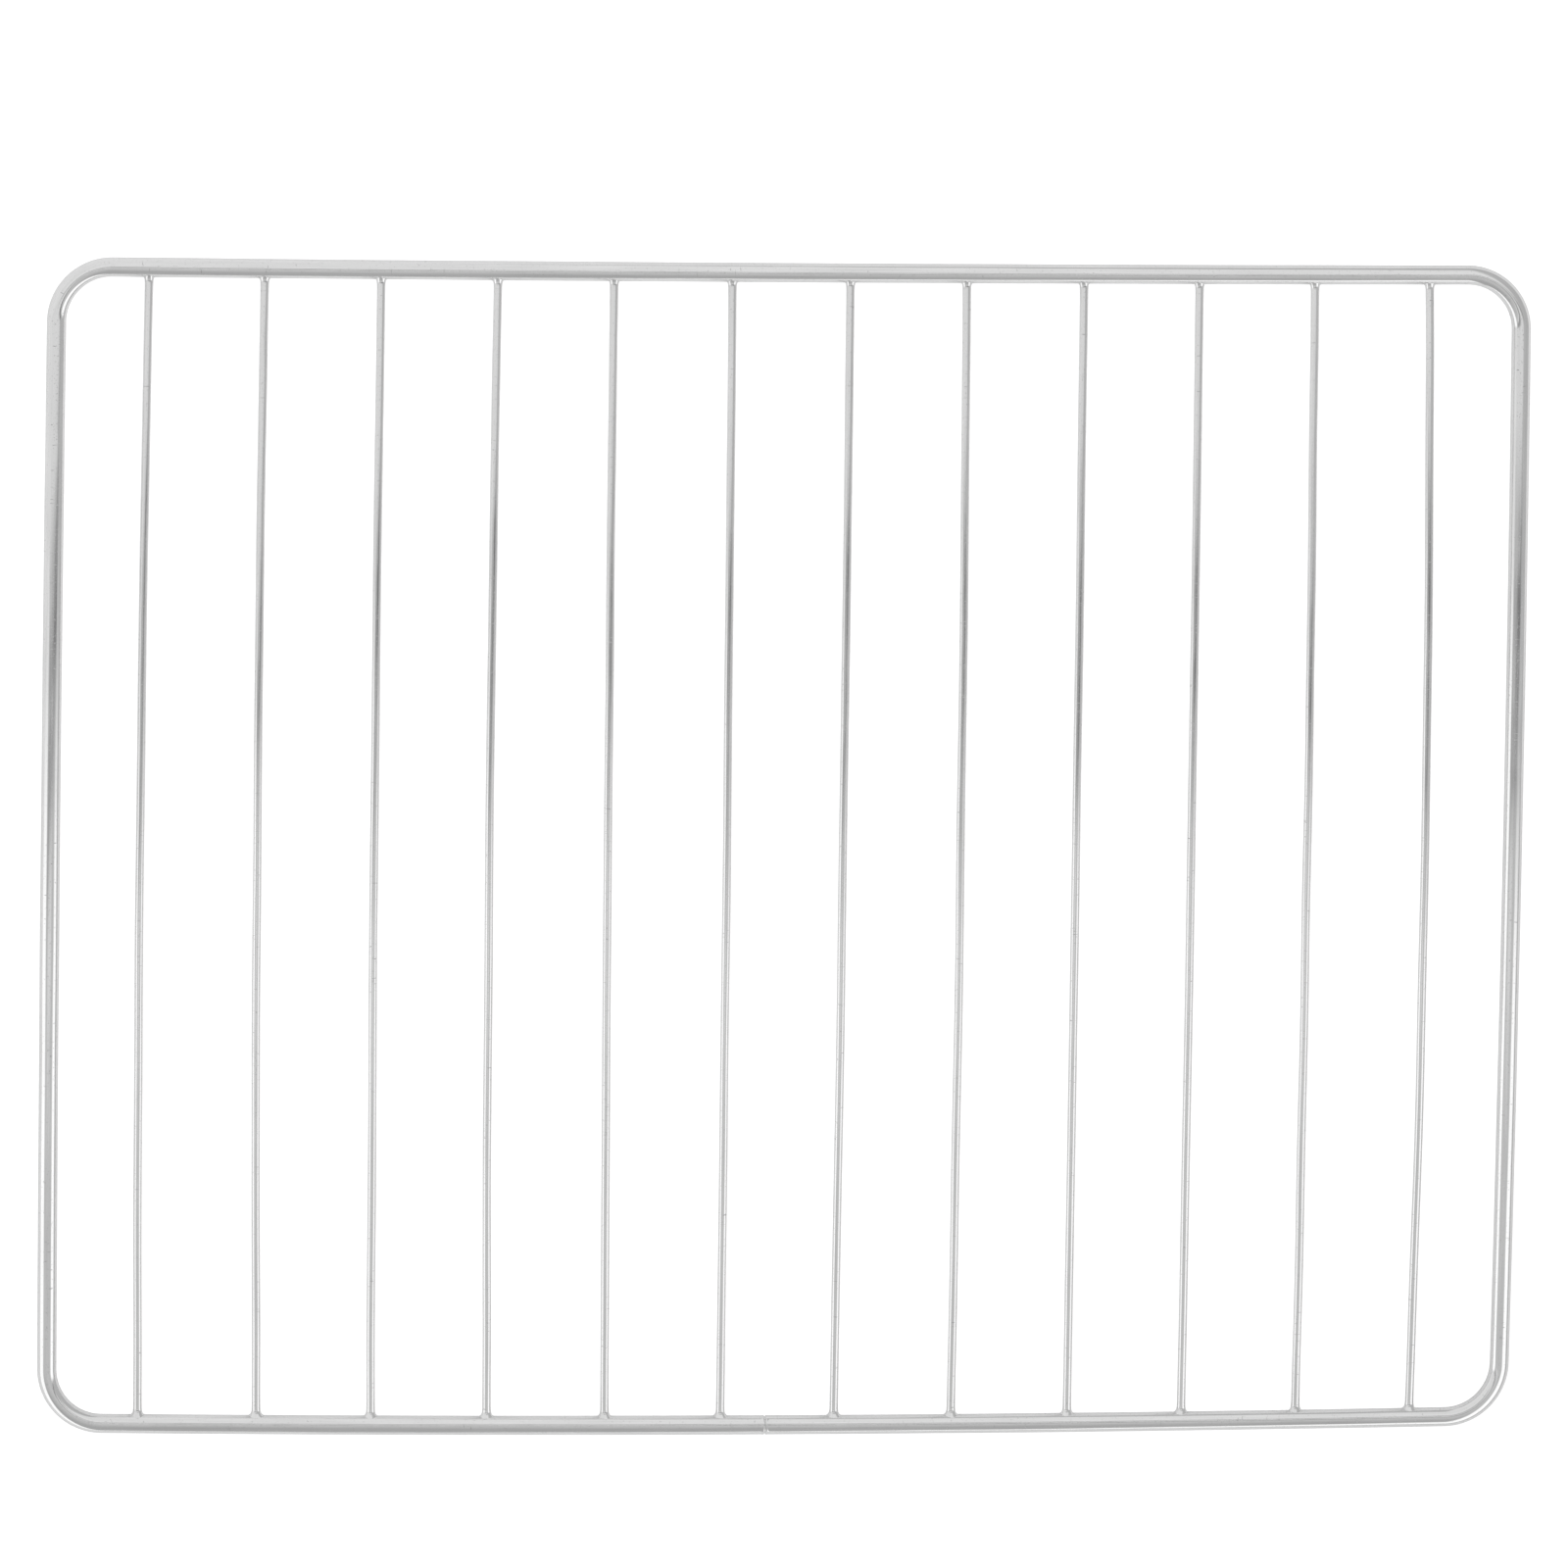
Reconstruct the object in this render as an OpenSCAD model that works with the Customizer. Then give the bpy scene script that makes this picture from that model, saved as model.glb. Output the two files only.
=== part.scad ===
// Wire rack for the inside of an air fryer oven.
// One round wire is bent into a flat frame, its two ends butt welded near the middle of the front.
// Straight cross wires run from the front side to the back side and are butt welded to its inner face.
// The rack lies flat. The origin is the middle of its underside, X along the long sides, Y to the back.

/* [Frame wire] */
// Outside length of the rack, along the front and back sides
rack_w = 348; // [280:2:420]
// Outside depth of the rack, from front to back
rack_d = 275; // [200:1:340]
// Diameter of the frame wire
frame_d = 4.5; // [3.5:0.5:6]
// Outside radius of the four bends
corner_r = 15; // [12:0.5:20]
// Place of the frame's butt weld along the front side, from the middle
seam_x = -2.8; // [-8:0.2:8]
// Width of the groove that is left round the butt weld
seam_w = 0.4; // [0.2:0.1:0.8]

/* [Cross wires] */
// Number of cross wires
wire_count = 12; // [8:1:14]
// Diameter of the cross wires
wire_d = 2; // [1.5:0.1:2.4]
// Distance from the middle of a side of the frame to the middle of the nearest cross wire
end_gap = 21.05; // [20:0.05:30]

/* [Welds] */
// Height of the weld's collar above the cross wire
collar_h = 0.35; // [0.2:0.05:0.5]
// Radius of the hollow curve by which a cross wire swells into its collar
collar_fillet = 1.6; // [1:0.1:3]
// Length of the collar's straight part, in front of the frame's inner face
collar_land = 0.2; // [0.1:0.1:0.6]

/* [Hidden] */
wire_names = [for (i = [1 : wire_count]) str("cross_wire_", i < 10 ? "0" : "", i)];
$fn = 64;

steel = [0.74, 0.74, 0.75];

// The frame wire's middle line: half its size each way, and the radius of its bends.
frame_r = frame_d / 2;
half_w = rack_w / 2 - frame_r;
half_d = rack_d / 2 - frame_r;
bend_r = corner_r - frame_r;

// The cross wires share the frame's middle plane and end at the inner faces of the long sides.
wire_r = wire_d / 2;
wire_pitch = (2 * half_w - 2 * end_gap) / (wire_count - 1);
half_gap = half_d - frame_r;

// A collar swells along its hollow curve, then runs straight into the frame's round inner face.
collar_r = wire_r + collar_h;
collar_curve = sqrt(2 * collar_fillet * collar_h - collar_h * collar_h);
neck_half = half_gap - collar_land - collar_curve;

// A straight run of the frame wire along X, in the frame's middle plane.
module run_along_x(length, y) {
    translate([-length / 2, y, frame_r])
        rotate([0, 90, 0])
            cylinder(h = length, r = frame_r);
}

// A straight run of the frame wire along Y, in the frame's middle plane.
module run_along_y(length, x) {
    translate([x, length / 2, frame_r])
        rotate([90, 0, 0])
            cylinder(h = length, r = frame_r);
}

// One quarter bend of the frame wire, at the back right corner.
module bend() {
    translate([half_w - bend_r, half_d - bend_r, frame_r])
        rotate_extrude(angle = 90)
            translate([bend_r, 0])
                circle(r = frame_r);
}

// The groove round the frame wire where its two ends are joined.
module seam_groove() {
    translate([seam_x, -half_d, frame_r])
        rotate([0, 90, 0])
            rotate_extrude()
                translate([frame_r, 0])
                    circle(d = seam_w);
}

module frame_wire() {
    color(steel)
        difference() {
            union() {
                for (side = [-1, 1]) {
                    run_along_x(2 * (half_w - bend_r), side * half_d);
                    run_along_y(2 * (half_d - bend_r), side * half_w);
                }
                for (mx = [0, 1], my = [0, 1])
                    mirror([mx, 0, 0])
                        mirror([0, my, 0])
                            bend();
            }
            seam_groove();
        }
}

// Half the outline of a cross wire before its ends are cut to the frame: a rod as thick as its
// collars, necked down to the wire between them, with a hollow curve from the neck to each collar.
module wire_outline() {
    difference() {
        translate([0, -half_d])
            square([collar_r, 2 * half_d]);
        translate([wire_r, -neck_half])
            square([collar_fillet, 2 * neck_half]);
        for (side = [-1, 1])
            translate([wire_r + collar_fillet, side * neck_half])
                circle(r = collar_fillet);
    }
}

// A cross wire, counted from the left. Its ends are hollowed to seat on the round long sides.
module cross_wire(index) {
    color(steel)
        difference() {
            translate([-half_w + end_gap + index * wire_pitch, 0, frame_r])
                rotate([-90, 0, 0])
                    rotate_extrude()
                        wire_outline();
            for (side = [-1, 1])
                run_along_x(2 * (half_w - bend_r), side * half_d);
        }
}

frame_wire();
for (i = [0 : wire_count - 1])
    cross_wire(i);
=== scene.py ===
import math

import bpy
import numpy as np
from mathutils import Matrix, Vector


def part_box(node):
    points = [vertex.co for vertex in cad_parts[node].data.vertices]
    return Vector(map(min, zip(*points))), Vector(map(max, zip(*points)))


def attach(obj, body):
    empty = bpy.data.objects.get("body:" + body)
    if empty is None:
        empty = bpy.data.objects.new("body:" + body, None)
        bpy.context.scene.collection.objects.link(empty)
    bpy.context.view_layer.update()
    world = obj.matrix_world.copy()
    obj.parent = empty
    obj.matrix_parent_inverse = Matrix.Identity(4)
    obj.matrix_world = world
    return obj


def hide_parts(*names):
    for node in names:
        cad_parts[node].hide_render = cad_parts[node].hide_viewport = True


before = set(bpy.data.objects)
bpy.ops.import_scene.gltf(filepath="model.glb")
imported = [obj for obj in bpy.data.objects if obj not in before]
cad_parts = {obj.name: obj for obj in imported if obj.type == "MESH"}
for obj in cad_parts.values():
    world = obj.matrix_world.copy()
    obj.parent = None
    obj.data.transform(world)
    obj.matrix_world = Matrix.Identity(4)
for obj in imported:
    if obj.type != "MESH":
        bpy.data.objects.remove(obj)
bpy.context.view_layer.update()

MM = 0.001
SEED = 11

# Sizes of the solids.
frame_low, frame_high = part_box("frame_wire")
FRAME_R = (frame_high.z - frame_low.z) / 2
HALF_W = (frame_high.x - frame_low.x) / 2 - FRAME_R
HALF_D = (frame_high.y - frame_low.y) / 2 - FRAME_R
BEND_R = 15 * MM - FRAME_R
SEAM_X = -2.8 * MM
WIRE_R = 1 * MM
WIRE_NAMES = sorted(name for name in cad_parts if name.startswith("cross_wire"))

# Fineness of the meshes.
FRAME_SIDES = 40
FRAME_STEP = 1.5 * MM
BEND_STEPS = 40
WIRE_SIDES = 28
WIRE_STEP = 1.6 * MM

# The butt weld of the frame wire: a groove with a low lip on each side.
GROOVE_DEPTH = 0.24 * MM
GROOVE_HALF = 0.2 * MM
LIP_HEIGHT = 0.05 * MM
LIP_PLACE = 0.42 * MM
LIP_HALF = 0.16 * MM

# The welds at the cross wires' ends: height of the bead at the frame, and how fast it falls away.
FRONT_BEAD = 0.62 * MM
FRONT_FALL = 0.38 * MM
BACK_BEAD = 0.34 * MM
BACK_FALL = 0.28 * MM
BEAD_SINK = 0.03 * MM

# How far each cross wire lies off its straight line, in mm towards +X: at the back, middle and front.
WIRE_BOWS = {
    "cross_wire_01": (0.60, -0.33, 0.27),
    "cross_wire_02": (0.01, -0.44, 0.62),
    "cross_wire_03": (-0.32, -0.52, 0.09),
    "cross_wire_04": (-0.55, -0.97, -0.08),
    "cross_wire_05": (-0.86, -0.62, 0.26),
    "cross_wire_06": (-0.62, -0.09, 0.15),
    "cross_wire_07": (-0.38, -0.17, -0.43),
    "cross_wire_08": (-0.49, 0.16, -0.12),
    "cross_wire_09": (-0.34, -0.01, 0.02),
    "cross_wire_10": (-0.54, -0.14, -0.26),
    "cross_wire_11": (-0.70, -0.06, -0.48),
    "cross_wire_12": (-1.00, 0.50, -0.74),
}

# The frame's sides, as middle, slope and bow in mm: front and back towards +Y, left and right towards +X.
FRONT_BOW = (-0.60, 0.23, 1.31)
BACK_BOW = (0.02, -0.03, 0.45)
LEFT_BOW = (-0.13, 0.14, 0.36)
RIGHT_BOW = (0.22, 0.14, -0.64)

# The studio: the dome's size and fineness, the floor that the camera sees, and the table that the wires see.
DOME_RADIUS = 1.2
DOME_AROUND = 480
DOME_RISE = 120
FLOOR_HALF = 60.0
FLOOR_GAP = 0.01 * MM
FLOOR_TONE = 0.35
FLOOR_GLOW = 0.86
TABLE_TONE = 0.80
WORLD_GLOW = 1.1

# Bright steel: its middle tone, how rough it is along and between its drawn lines, and its relief.
STEEL_TONE = 0.80
SMOOTH = 0.05
DULL = 0.13
RELIEF = 0.012 * MM


def ramp(value, start, end):
    """0 before start, 1 after end, smooth between them."""
    share = np.clip((value - start) / (end - start), 0.0, 1.0)
    return share * share * (3 - 2 * share)


def band(value, start, end, soft):
    """1 between start and end, with edges that are soft by that much."""
    return ramp(value, start - soft, start + soft) * (1 - ramp(value, end - soft, end + soft))


def mix(first, second, share):
    return first + (second - first) * share


def drift(rng, place, waves, height):
    """A smooth random curve along place, from a few waves with lengths between the two in waves."""
    total = np.zeros_like(place)
    for _ in range(5):
        length = rng.uniform(*waves)
        total += np.sin(2 * math.pi * (place / length + rng.uniform()))
    return total * height / math.sqrt(5)


def bowed(bow, share):
    """The offset in metres of a side with that (middle, slope, bow), share running from -1 to 1 along it."""
    return (bow[0] + bow[1] * share + bow[2] * share * share) * MM


def frame_offset(x, y):
    """How far the real frame lies off the ideal one at a place, as (dx, dy)."""
    across = np.clip(x / HALF_W, -1, 1)
    along = np.clip(y / HALF_D, -1, 1)
    dx = mix(bowed(LEFT_BOW, along), bowed(RIGHT_BOW, along), (across + 1) / 2)
    dy = mix(bowed(FRONT_BOW, across), bowed(BACK_BOW, across), (along + 1) / 2)
    return dx, dy


def fine_then_even(length, step):
    """Distances from 0 to length that start fine, for the weld, and then run evenly."""
    fine = np.array([0, 0.05, 0.1, 0.14, 0.17, 0.2, 0.24, 0.3, 0.38, 0.46, 0.56, 0.7, 1.0, 1.5, 2.2]) * MM
    even = np.linspace(3.2 * MM, length, int(length / step))
    return np.concatenate([fine, even])


def frame_line():
    """The frame's middle line from the seam round to it again: points, headings and running lengths."""
    long_run = 2 * (HALF_W - BEND_R)
    short_run = 2 * (HALF_D - BEND_R)
    first_run = HALF_W - BEND_R - SEAM_X
    last_run = long_run - first_run
    runs = [
        fine_then_even(first_run, FRAME_STEP),
        np.linspace(0, short_run, int(short_run / FRAME_STEP)),
        np.linspace(0, long_run, int(long_run / FRAME_STEP)),
        np.linspace(0, short_run, int(short_run / FRAME_STEP)),
        last_run - fine_then_even(last_run, FRAME_STEP)[::-1],
    ]
    points, headings, lengths = [], [], []
    x, y, heading, run_so_far = SEAM_X, -HALF_D, 0.0, 0.0
    for number, run in enumerate(runs):
        ahead = np.array([math.cos(heading), math.sin(heading)])
        for distance in run[:-1]:
            points.append((x + ahead[0] * distance, y + ahead[1] * distance))
            headings.append(heading)
            lengths.append(run_so_far + distance)
        x, y = x + ahead[0] * run[-1], y + ahead[1] * run[-1]
        run_so_far += run[-1]
        if number == len(runs) - 1:
            break
        centre = (x - BEND_R * ahead[1], y + BEND_R * ahead[0])
        for step in range(BEND_STEPS):
            turn = heading + math.pi / 2 * step / BEND_STEPS
            points.append((centre[0] + BEND_R * math.sin(turn), centre[1] - BEND_R * math.cos(turn)))
            headings.append(turn)
            lengths.append(run_so_far + BEND_R * (turn - heading))
        heading += math.pi / 2
        run_so_far += BEND_R * math.pi / 2
        x = centre[0] + BEND_R * math.sin(heading)
        y = centre[1] - BEND_R * math.cos(heading)
    return np.array(points), np.array(headings), np.array(lengths), run_so_far


def tube_mesh(name, points, grain, place, heat, closed):
    """A mesh from rings of points. grain, place and heat go along for the material."""
    rings, sides = points.shape[:2]
    mesh = bpy.data.meshes.new(name)
    vertices = points.reshape(-1, 3)
    ring = np.arange(rings if closed else rings - 1)[:, None]
    side = np.arange(sides)[None, :]
    after = (ring + 1) % rings
    beside = (side + 1) % sides
    quads = np.stack(
        [ring * sides + side, after * sides + side, after * sides + beside, ring * sides + beside], axis=-1
    ).reshape(-1, 4)
    faces = quads.tolist()
    corner_sides = np.stack([side, side, side + 1, side + 1], axis=-1)
    corner_sides = np.broadcast_to(corner_sides, (len(ring), sides, 4)).reshape(-1)
    corner_rings = np.broadcast_to(np.stack([ring, ring + 1, ring + 1, ring], axis=-1), (len(ring), sides, 4))
    corner_rings = corner_rings.reshape(-1)
    corner_places = np.stack([place[0][corner_rings], place[1][corner_sides]], axis=-1)
    if not closed:
        ends = [points[0].mean(0), points[-1].mean(0)]
        vertices = np.concatenate([vertices, ends])
        grain = np.concatenate([grain.reshape(-1, 3), grain[0, :1] * [0, 0, 1], grain[-1, :1] * [0, 0, 1]])
        heat = np.concatenate([heat.reshape(-1), heat[0, :1], heat[-1, :1]])
        hub = rings * sides
        for j in range(sides):
            faces.append((hub, j, (j + 1) % sides))
            faces.append((hub + 1, (rings - 1) * sides + (j + 1) % sides, (rings - 1) * sides + j))
        caps = np.zeros((6 * sides, 2))
        caps[:, 0] = place[0][0]
        corner_places = np.concatenate([corner_places, caps])
    mesh.from_pydata(vertices.tolist(), [], faces)
    mesh.attributes.new("grain", "FLOAT_VECTOR", "POINT").data.foreach_set(
        "vector", grain.reshape(-1).astype(np.float32)
    )
    mesh.attributes.new("heat", "FLOAT", "POINT").data.foreach_set(
        "value", heat.reshape(-1).astype(np.float32)
    )
    corners = np.concatenate([corner_places, np.zeros((len(corner_places), 1))], axis=1)
    mesh.attributes.new("place", "FLOAT_VECTOR", "CORNER").data.foreach_set(
        "vector", corners.reshape(-1).astype(np.float32)
    )
    mesh.shade_smooth()
    mesh.update()
    piece = bpy.data.objects.new(name, mesh)
    bpy.context.scene.collection.objects.link(piece)
    return piece


def frame_piece():
    """The frame wire, bent from one wire, with the groove of its butt weld and a lip on each side of it."""
    rng = np.random.default_rng(SEED)
    line, headings, lengths, whole = frame_line()
    dx, dy = frame_offset(line[:, 0], line[:, 1])
    turns = np.linspace(0, 2 * math.pi, FRAME_SIDES + 1) - math.pi / 2
    from_seam = np.minimum(lengths, whole - lengths)
    groove = -GROOVE_DEPTH * np.sqrt(np.clip(1 - (from_seam / GROOVE_HALF) ** 2, 0, 1))
    lip = LIP_HEIGHT * np.exp(-(((from_seam - LIP_PLACE) / LIP_HALF) ** 2))
    swell = drift(rng, lengths, (30 * MM, 90 * MM), 0.006 * MM) * ramp(from_seam, 0, 8 * MM)
    oval = drift(rng, lengths, (35 * MM, 110 * MM), 0.012 * MM) * ramp(from_seam, 0, 8 * MM)
    oval_turn = drift(rng, lengths, (60 * MM, 160 * MM), 0.8) * ramp(from_seam, 0, 8 * MM)
    angles = turns[None, :-1]
    # The lip fades out towards the underside, where the rack lies on the table.
    free = 1 - ramp(-np.sin(angles), 0.2, 0.8)
    radius = FRAME_R + (groove + swell)[:, None] + lip[:, None] * free
    radius = radius + oval[:, None] * np.cos(2 * angles + oval_turn[:, None])
    out = np.stack([np.sin(headings), -np.cos(headings), np.zeros_like(headings)], axis=-1)
    up = np.array([0.0, 0.0, 1.0])
    lift = drift(rng, lengths, (70 * MM, 180 * MM), 0.03 * MM) * ramp(from_seam, 0, 8 * MM)
    centres = np.stack([line[:, 0] + dx, line[:, 1] + dy, FRAME_R + np.abs(lift)], axis=-1)
    points = centres[:, None, :] + radius[:, :, None] * (
        np.cos(angles)[:, :, None] * out[:, None, :] + np.sin(angles)[:, :, None] * up
    )
    grain = np.stack(
        [
            FRAME_R * np.cos(angles) * np.ones_like(radius),
            FRAME_R * np.sin(angles) * np.ones_like(radius),
            lengths[:, None] * np.ones_like(radius),
        ],
        axis=-1,
    )
    place = (np.append(lengths, whole), FRAME_R * (turns - math.pi / 2))
    heat = np.exp(-((from_seam / (0.5 * MM)) ** 2))[:, None] * np.ones_like(radius)
    return tube_mesh("frame_wire_bent", points, grain, place, heat, closed=True)


def wire_ends(x):
    """Y of the frame's middle line in front and behind at x."""
    front = -HALF_D + bowed(FRONT_BOW, x / HALF_W)
    back = HALF_D + bowed(BACK_BOW, x / HALF_W)
    return front, back


def cross_wire_piece(number, name):
    """One cross wire with its two weld beads, which hug the round frame wire."""
    rng = np.random.default_rng(SEED + 1 + number)
    low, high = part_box(name)
    middle_x = (low.x + high.x) / 2
    back_bow, middle_bow, front_bow = (value * MM for value in WIRE_BOWS[name])
    front_y, back_y = wire_ends(middle_x)
    face_to_face = back_y - front_y - 2 * FRAME_R
    near = np.array([0, 0.06, 0.12, 0.2, 0.28, 0.38, 0.5, 0.65, 0.85, 1.1, 1.4, 1.8, 2.3, 2.9]) * MM
    even = np.linspace(3.6 * MM, face_to_face - 3.6 * MM, int(face_to_face / WIRE_STEP))
    along = np.concatenate([near, even, face_to_face - near[::-1]])
    from_front = along
    from_back = face_to_face - along
    share = 2 * along / face_to_face - 1
    bow = middle_bow + (back_bow - front_bow) / 2 * share
    bow = bow + ((back_bow + front_bow) / 2 - middle_bow) * share * share
    held = ramp(from_front, 0, 20 * MM) * ramp(from_back, 0, 20 * MM)
    sway = drift(rng, along, (50 * MM, 130 * MM), 0.05 * MM) * held
    lift = drift(rng, along, (90 * MM, 200 * MM), 0.09 * MM) * held
    turns = np.linspace(0, 2 * math.pi, WIRE_SIDES + 1) - math.pi / 2
    angles = turns[None, :-1]
    lumps = 1 + 0.16 * np.sin(angles * 2 + rng.uniform(0, 6.3))
    lumps = lumps + 0.08 * np.sin(angles * 5 + rng.uniform(0, 6.3))
    front_bead = FRONT_BEAD * rng.uniform(0.85, 1.15) * np.exp(-from_front / FRONT_FALL)
    back_bead = BACK_BEAD * rng.uniform(0.8, 1.2) * np.exp(-from_back / BACK_FALL)
    oval = drift(rng, along, (30 * MM, 90 * MM), 0.010 * MM) * held
    radius = WIRE_R + (front_bead + back_bead)[:, None] * lumps + oval[:, None] * np.cos(2 * angles)
    side_way = radius * np.cos(angles)
    up_way = radius * np.sin(angles)
    # Near its ends each ring follows the frame's round face, and further off it is flat.
    hug = np.sqrt(np.clip(FRAME_R**2 - np.minimum(np.abs(up_way), 0.98 * FRAME_R) ** 2, 0, None)) - FRAME_R
    near_front = 1 - ramp(from_front, 1.0 * MM, 4.0 * MM)
    near_back = 1 - ramp(from_back, 1.0 * MM, 4.0 * MM)
    y = (front_y + FRAME_R + along)[:, None] + hug * (near_front - near_back)[:, None]
    y[0] -= BEAD_SINK
    y[-1] += BEAD_SINK
    points = np.stack(
        [(middle_x + bow + sway)[:, None] + side_way, y, (FRAME_R + lift)[:, None] + up_way], axis=-1
    )
    flat = np.ones_like(radius)
    grain = np.stack(
        [WIRE_R * np.cos(angles) * flat, WIRE_R * np.sin(angles) * flat, along[:, None] * flat], axis=-1
    )
    grain = grain + np.array([0.0, 0.0, 0.4 * (number + 1)])
    place = (along, WIRE_R * (turns - math.pi / 2))
    heat = np.exp(-((from_front / (1.5 * MM)) ** 2))
    heat = heat + 0.8 * np.exp(-(((from_back - 0.5 * MM) / (0.6 * MM)) ** 2))
    return tube_mesh(name + "_drawn", points, grain, place, np.clip(heat, 0, 1)[:, None] * flat, closed=False)


def studio_glow(x, y, z):
    """Brightness of the studio seen from the rack in the direction x, y, z, a unit vector with z up."""
    # Angles from straight up, in degrees, towards the right and towards the back.
    side = np.degrees(np.arctan2(x, np.maximum(z, 1e-3)))
    depth = np.degrees(np.arctan2(y, np.maximum(z, 1e-3)))
    # The front of the room is grey and the back is light.
    front = mix(0.46, 0.62, ramp(depth, -50.0, -10.0))
    glow = mix(front, 0.86, ramp(depth, 8.0, 18.0))
    # A light ceiling behind the middle, with a slanted edge.
    edge = y + 0.030 + 0.0009 * np.maximum(side, 0.0)
    back = ramp(edge, -0.012, 0.012) * (1 - ramp(side, 20.0, 34.0))
    glow = mix(glow, 0.83, back * band(depth, -40.0, 14.0, 6.0))
    # The right side of the room is a darker grey.
    right = ramp(side, 28.0, 44.0)
    glow = mix(glow, 0.52, right * ramp(y, -0.12, -0.04))
    # A dark beam runs across, darkest on the right, with a light patch in front of it.
    beam = band(y, -0.100 + 0.0006 * side, -0.030 + 0.0003 * side, 0.016) * band(side, -46.0, 40.0, 10.0)
    glow = mix(glow, mix(0.40, 0.20, ramp(side, -20.0, 22.0)), beam)
    patch = band(y, -0.168, -0.118, 0.014) * band(side, -34.0, 6.0, 8.0)
    glow = mix(glow, 0.85, patch)
    # White panels stand low on the left and on the right.
    left_panel = (1 - ramp(side, -58.0, -48.0)) * (1 - ramp(y, -0.12, 0.0))
    glow = mix(glow, 1.25, left_panel)
    right_panel = band(side, 34.0 + 60.0 * np.maximum(y + 0.2, 0.0), 74.0, 6.0) * (1 - ramp(y, -0.14, -0.08))
    glow = mix(glow, 1.25, right_panel)
    # A thin dark line parts the light back from the grey front.
    line = band(depth, 7.0, 11.0, 2.0) * band(side, -20.0, 40.0, 8.0)
    glow = mix(glow, 0.3, line)
    return glow


def make_dome():
    """The studio round the rack: a dome that glows as studio_glow says, and that the camera doesn't see."""
    azimuth = np.linspace(0, 2 * math.pi, DOME_AROUND, endpoint=False)[None, :]
    height = np.linspace(0, math.pi / 2, DOME_RISE)[:, None]
    x = np.cos(height) * np.cos(azimuth)
    y = np.cos(height) * np.sin(azimuth)
    z = np.sin(height) * np.ones_like(azimuth)
    row = np.arange(DOME_RISE - 1)[:, None] * DOME_AROUND
    row_above = row + DOME_AROUND
    side = np.arange(DOME_AROUND)[None, :]
    beside = (side + 1) % DOME_AROUND
    quads = np.stack([row + side, row_above + side, row_above + beside, row + beside], axis=-1).reshape(-1, 4)
    mesh = bpy.data.meshes.new("studio_dome")
    mesh.from_pydata((np.stack([x, y, z], axis=-1).reshape(-1, 3) * DOME_RADIUS).tolist(), [], quads.tolist())
    glow = studio_glow(x, y, z).reshape(-1).astype(np.float32)
    mesh.attributes.new("glow", "FLOAT", "POINT").data.foreach_set("value", glow)
    mesh.shade_smooth()
    dome = bpy.data.objects.new("studio_dome", mesh)
    bpy.context.scene.collection.objects.link(dome)
    material = bpy.data.materials.new("studio_dome")
    material.use_nodes = True
    nodes, links = material.node_tree.nodes, material.node_tree.links
    nodes.clear()
    reader = nodes.new("ShaderNodeAttribute")
    reader.attribute_name = "glow"
    emission = nodes.new("ShaderNodeEmission")
    output = nodes.new("ShaderNodeOutputMaterial")
    links.new(reader.outputs["Fac"], emission.inputs["Strength"])
    links.new(emission.outputs["Emission"], output.inputs["Surface"])
    material.cycles.emission_sampling = "NONE"
    mesh.materials.append(material)
    dome.visible_camera = False


def plain_plane(name, z, half, colour, glow):
    """A wide level plane with a plain matt material that may glow a little."""
    mesh = bpy.data.meshes.new(name)
    corners = [(-half, -half, z), (half, -half, z), (half, half, z), (-half, half, z)]
    mesh.from_pydata(corners, [], [(0, 1, 2, 3)])
    plane = bpy.data.objects.new(name, mesh)
    bpy.context.scene.collection.objects.link(plane)
    material = bpy.data.materials.new(name)
    material.use_nodes = True
    nodes, links = material.node_tree.nodes, material.node_tree.links
    nodes.clear()
    matt = nodes.new("ShaderNodeBsdfDiffuse")
    matt.inputs["Color"].default_value = (colour, colour, colour, 1)
    light = nodes.new("ShaderNodeEmission")
    light.inputs["Strength"].default_value = glow
    both = nodes.new("ShaderNodeAddShader")
    output = nodes.new("ShaderNodeOutputMaterial")
    links.new(matt.outputs[0], both.inputs[0])
    links.new(light.outputs[0], both.inputs[1])
    links.new(both.outputs[0], output.inputs["Surface"])
    material.cycles.emission_sampling = "NONE"
    mesh.materials.append(material)
    return plane


def make_floor():
    """The pale floor that the camera sees, and the table top that the wires reflect."""
    floor = plain_plane("floor", -FLOOR_GAP, FLOOR_HALF, FLOOR_TONE, FLOOR_GLOW)
    floor.visible_glossy = False
    floor.visible_diffuse = False
    floor.visible_shadow = False
    table_top = plain_plane("table_top", -2 * FLOOR_GAP, FLOOR_HALF, TABLE_TONE, 0.0)
    table_top.visible_camera = False
    return floor


def make_world():
    """A pale even world, plain tones in the picture, and as few bounces of light as wires need."""
    world = bpy.data.worlds.new("pale_world")
    world.use_nodes = True
    world.node_tree.nodes["Background"].inputs["Color"].default_value = (1, 1, 1, 1)
    world.node_tree.nodes["Background"].inputs["Strength"].default_value = WORLD_GLOW
    world.cycles.sampling_method = "NONE"
    bpy.context.scene.world = world
    bpy.context.scene.view_settings.view_transform = "Standard"
    cycles = bpy.context.scene.cycles
    cycles.max_bounces = 5
    cycles.diffuse_bounces = 2
    cycles.glossy_bounces = 4


def make_soft_light():
    """One wide soft lamp over the back of the table. The wires reflect the dome and not the lamp."""
    data = bpy.data.lights.new("soft_lamp", "AREA")
    data.shape = "DISK"
    data.size = 0.9
    data.energy = 4.0
    lamp = bpy.data.objects.new("soft_lamp", data)
    lamp.location = (-0.15, 0.35, 0.95)
    lamp.rotation_euler = Vector((0.15, -0.35, -0.95)).to_track_quat("-Z", "Y").to_euler()
    bpy.context.scene.collection.objects.link(lamp)
    lamp.visible_camera = False
    lamp.visible_glossy = False


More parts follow.
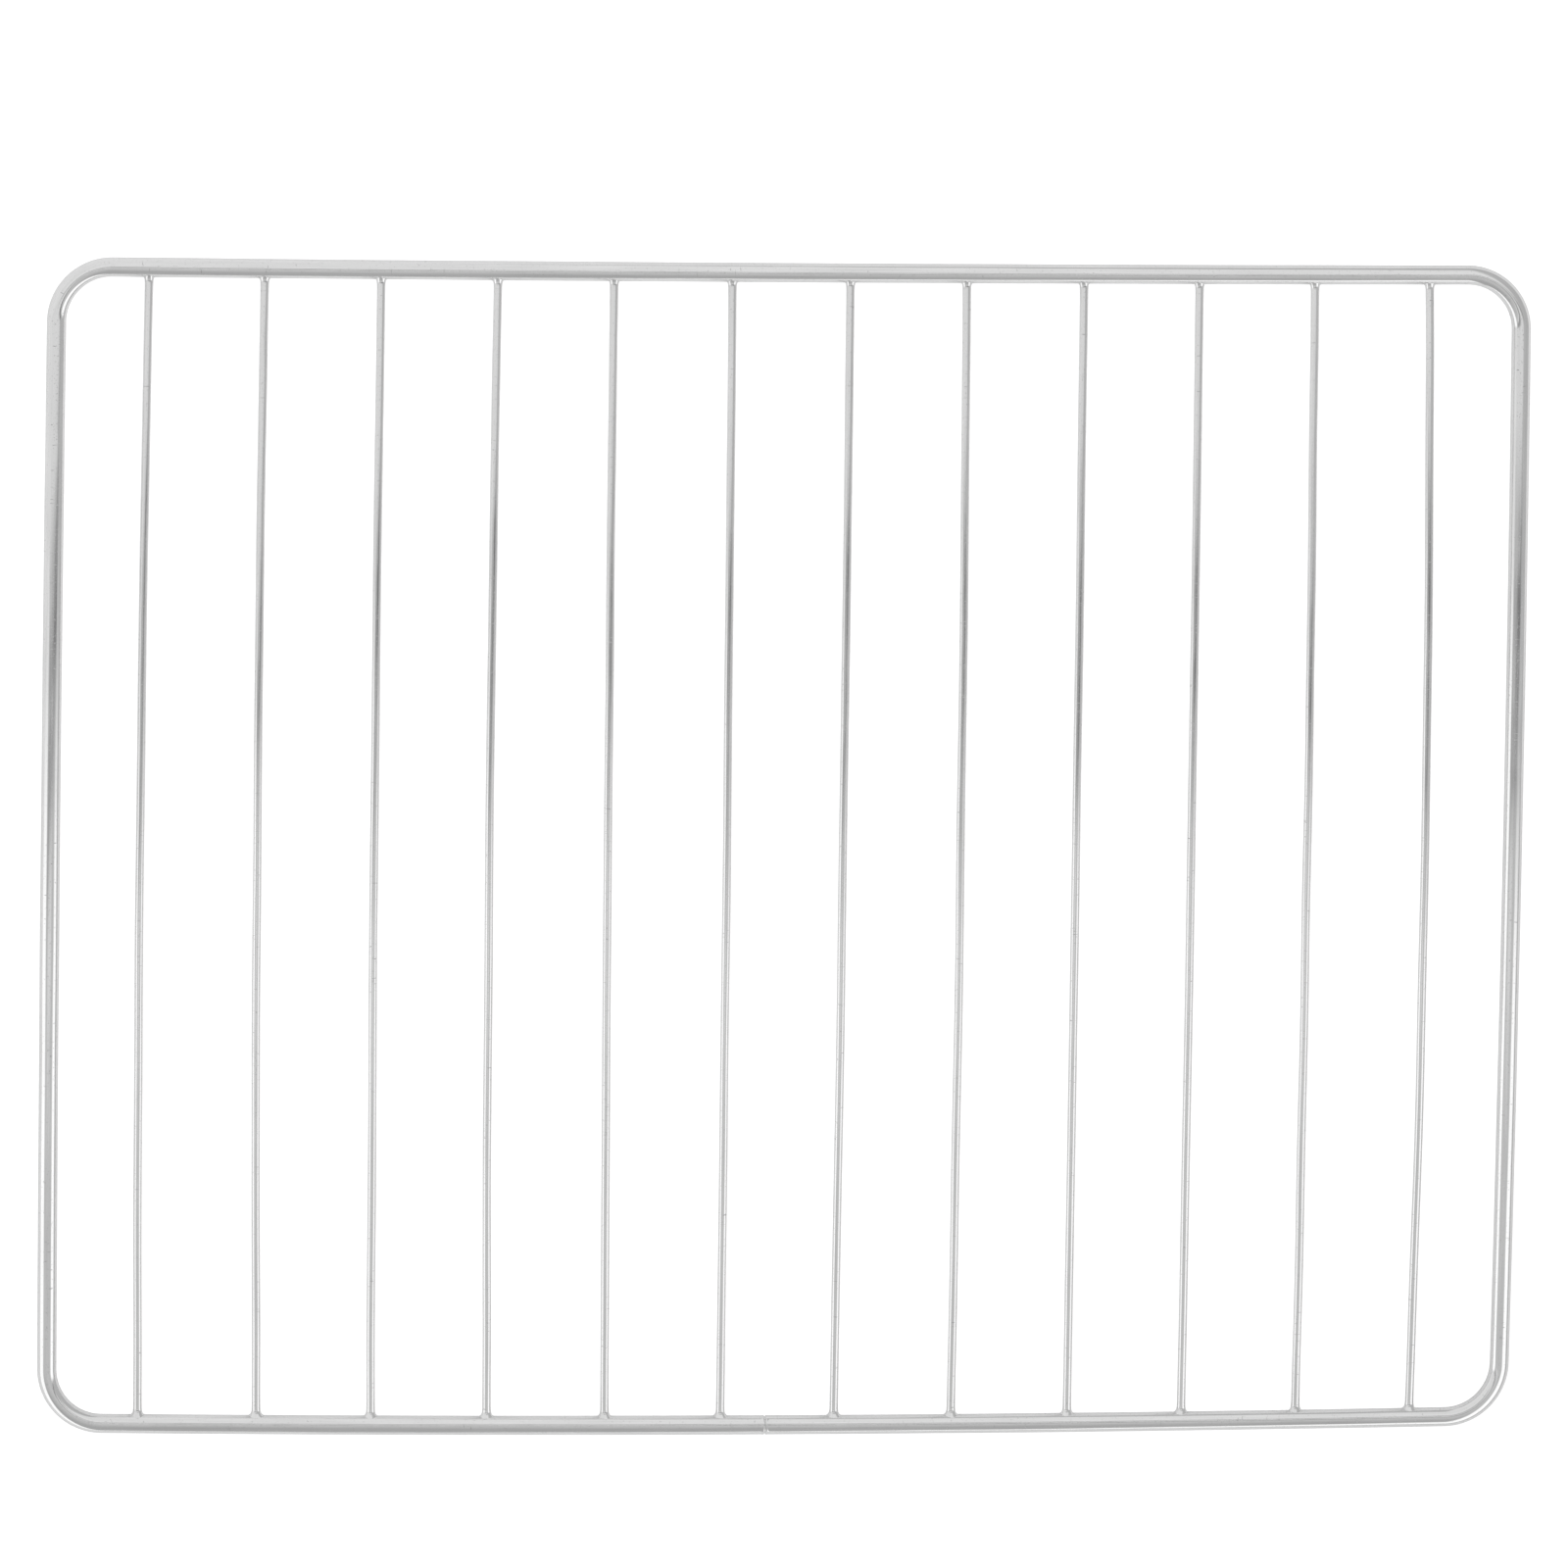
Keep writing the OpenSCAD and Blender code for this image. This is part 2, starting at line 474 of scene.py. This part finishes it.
def make_camera():
    """A long lens almost straight above the rack, tilted a little to the back and to the left."""
    data = bpy.data.cameras.new("camera")
    data.sensor_width = 36
    data.lens = 315.36
    camera = bpy.data.objects.new("camera", data)
    tilt = (
        Matrix.Rotation(math.radians(-0.09), 4, "Z")
        @ Matrix.Rotation(math.radians(6.45), 4, "Y")
        @ Matrix.Rotation(math.radians(6.49), 4, "X")
    ).transposed()
    place = Vector((-0.3610, 0.3759, 3.1676 + FRAME_R))
    camera.matrix_world = Matrix.Translation(place) @ tilt
    bpy.context.scene.collection.objects.link(camera)
    bpy.context.scene.camera = camera


class Wiring:
    """Short names for making and joining shader nodes."""

    def __init__(self, material):
        self.nodes = material.node_tree.nodes
        self.links = material.node_tree.links

    def attribute(self, name, output):
        node = self.nodes.new("ShaderNodeAttribute")
        node.attribute_name = name
        return node.outputs[output]

    def join(self, value, socket):
        if isinstance(value, bpy.types.NodeSocket):
            self.links.new(value, socket)
        else:
            socket.default_value = value

    def maths(self, operation, first, second=0.0):
        node = self.nodes.new("ShaderNodeMath")
        node.operation = operation
        self.join(first, node.inputs[0])
        self.join(second, node.inputs[1])
        return node.outputs[0]

    def stretched(self, vector, sizes):
        node = self.nodes.new("ShaderNodeVectorMath")
        node.operation = "MULTIPLY"
        self.join(vector, node.inputs[0])
        node.inputs[1].default_value = [1 / size for size in sizes]
        return node.outputs[0]

    def noise(self, vector, detail=2.0, rough=0.5):
        node = self.nodes.new("ShaderNodeTexNoise")
        self.join(vector, node.inputs["Vector"])
        node.inputs["Scale"].default_value = 1.0
        node.inputs["Detail"].default_value = detail
        node.inputs["Roughness"].default_value = rough
        return node.outputs["Fac"]

    def remap(self, value, low, high, new_low, new_high):
        node = self.nodes.new("ShaderNodeMapRange")
        self.join(value, node.inputs["Value"])
        limits = {"From Min": low, "From Max": high, "To Min": new_low, "To Max": new_high}
        for name, number in limits.items():
            node.inputs[name].default_value = number
        return node.outputs["Result"]


def steel(name, tone):
    """Bright drawn steel: lines along the wire, faint clouds, fine pits, nicks across, tarnish at welds."""
    material = bpy.data.materials.new(name)
    material.use_nodes = True
    shader = material.node_tree.nodes["Principled BSDF"]
    shader.inputs["Metallic"].default_value = 1.0
    w = Wiring(material)
    grain = w.attribute("grain", "Vector")
    heat = w.attribute("heat", "Fac")
    lines = w.noise(w.stretched(grain, (0.22 * MM, 0.22 * MM, 14 * MM)), 3.0, 0.6)
    clouds = w.noise(w.stretched(grain, (1.6 * MM, 1.6 * MM, 22 * MM)), 2.0)
    pits = w.remap(w.noise(w.stretched(grain, (0.3 * MM, 0.3 * MM, 0.3 * MM)), 1.0), 0.70, 0.76, 0.0, 1.0)
    nicks = w.remap(w.noise(w.stretched(grain, (1.5 * MM, 1.5 * MM, 0.25 * MM)), 1.0), 0.73, 0.78, 0.0, 1.0)
    marks = w.maths("MAXIMUM", pits, nicks)
    brightness = w.remap(clouds, 0.3, 0.7, tone - 0.03, tone + 0.03)
    brightness = w.maths("ADD", brightness, w.remap(lines, 0.3, 0.7, -0.025, 0.025))
    brightness = w.maths("MULTIPLY", brightness, w.remap(marks, 0.0, 1.0, 1.0, 0.55))
    brightness = w.maths("MULTIPLY", brightness, w.remap(heat, 0.0, 1.0, 1.0, 0.62))
    colour = w.nodes.new("ShaderNodeCombineColor")
    for socket in colour.inputs:
        w.join(brightness, socket)
    w.links.new(colour.outputs[0], shader.inputs["Base Color"])
    rough = w.remap(lines, 0.25, 0.75, SMOOTH, DULL)
    rough = w.maths("ADD", rough, w.remap(clouds, 0.3, 0.7, -0.02, 0.04))
    rough = w.maths("ADD", rough, w.maths("MULTIPLY", w.maths("MAXIMUM", heat, marks), 0.25))
    w.links.new(rough, shader.inputs["Roughness"])
    relief = w.maths("SUBTRACT", w.maths("MULTIPLY", lines, 0.35), marks)
    bump = w.nodes.new("ShaderNodeBump")
    bump.inputs["Strength"].default_value = 0.5
    bump.inputs["Distance"].default_value = RELIEF
    w.links.new(relief, bump.inputs["Height"])
    w.links.new(bump.outputs["Normal"], shader.inputs["Normal"])
    return material


def dress(piece, node, material):
    """Gives a piece its material, and lets it stand for its solid."""
    piece.data.materials.append(material)
    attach(piece, "root")
    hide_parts(node)


make_world()
make_dome()
make_floor()
make_soft_light()
make_camera()
dress(frame_piece(), "frame_wire", steel("frame_steel", STEEL_TONE))
cross_steel = steel("cross_wire_steel", STEEL_TONE)
for wire_number, wire_name in enumerate(WIRE_NAMES):
    dress(cross_wire_piece(wire_number, wire_name), wire_name, cross_steel)
